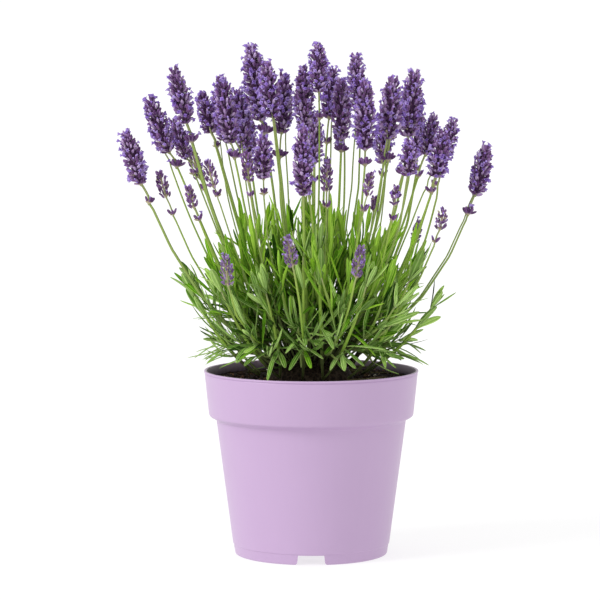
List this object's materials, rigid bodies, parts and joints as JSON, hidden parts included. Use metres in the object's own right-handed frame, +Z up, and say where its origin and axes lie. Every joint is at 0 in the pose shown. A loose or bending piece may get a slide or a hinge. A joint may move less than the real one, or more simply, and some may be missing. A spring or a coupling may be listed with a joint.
{
  "type": "potted lavender plant",
  "caption": "Flowering lavender plant with upright purple spikes over narrow green leaves, growing in a tapered round lilac plastic nursery pot with a banded rim.",
  "frame": {"origin": "on the pot's axis, at the bottom of its foot ring", "axes": "+Z up along the pot's axis and the plant's height, +Y to the back, -Y the side with the drainage notch that faces the viewer"},
  "size_m": [0.2249, 0.1896, 0.3101],
  "materials": {
    "pot_plastic": "satin",
    "compost": "matte",
    "old_wood": "matte",
    "leaf": "satin",
    "flower": "matte"
  },
  "bodies": {
    "root": {"nursery_pot": "pot_plastic", "compost": "compost", "woody_crown": "old_wood", "flower_stalk_01": "flower", "flower_stalk_02": "flower", "flower_stalk_03": "flower", "flower_stalk_04": "flower", "flower_stalk_05": "flower", "flower_stalk_06": "flower", "flower_stalk_07": "flower", "flower_stalk_08": "flower", "flower_stalk_09": "flower", "flower_stalk_10": "flower", "flower_stalk_11": "flower", "flower_stalk_12": "flower", "flower_stalk_13": "flower", "flower_stalk_14": "flower", "flower_stalk_15": "flower", "flower_stalk_16": "flower", "flower_stalk_17": "flower", "flower_stalk_18": "flower", "flower_stalk_19": "flower", "flower_stalk_20": "flower", "flower_stalk_21": "flower", "flower_stalk_22": "flower", "flower_stalk_23": "flower", "flower_stalk_24": "flower", "flower_stalk_25": "flower", "flower_stalk_26": "flower", "flower_stalk_27": "flower", "flower_stalk_28": "flower", "flower_stalk_29": "flower", "flower_stalk_30": "flower", "flower_stalk_31": "flower", "flower_stalk_32": "flower", "flower_stalk_33": "flower", "flower_stalk_34": "flower", "flower_stalk_35": "flower", "flower_stalk_36": "flower", "flower_stalk_37": "flower", "flower_stalk_38": "flower", "flower_stalk_39": "flower", "flower_stalk_40": "flower", "flower_stalk_41": "flower", "flower_stalk_42": "flower", "flower_stalk_43": "flower", "flower_stalk_44": "flower", "leafy_shoot_01": "leaf", "leafy_shoot_02": "leaf", "leafy_shoot_03": "leaf", "leafy_shoot_04": "leaf", "leafy_shoot_05": "leaf", "leafy_shoot_06": "leaf", "leafy_shoot_07": "leaf", "leafy_shoot_08": "leaf", "leafy_shoot_09": "leaf", "leafy_shoot_10": "leaf", "leafy_shoot_11": "leaf", "leafy_shoot_12": "leaf", "leafy_shoot_13": "leaf"}
  },
  "joints": []
}
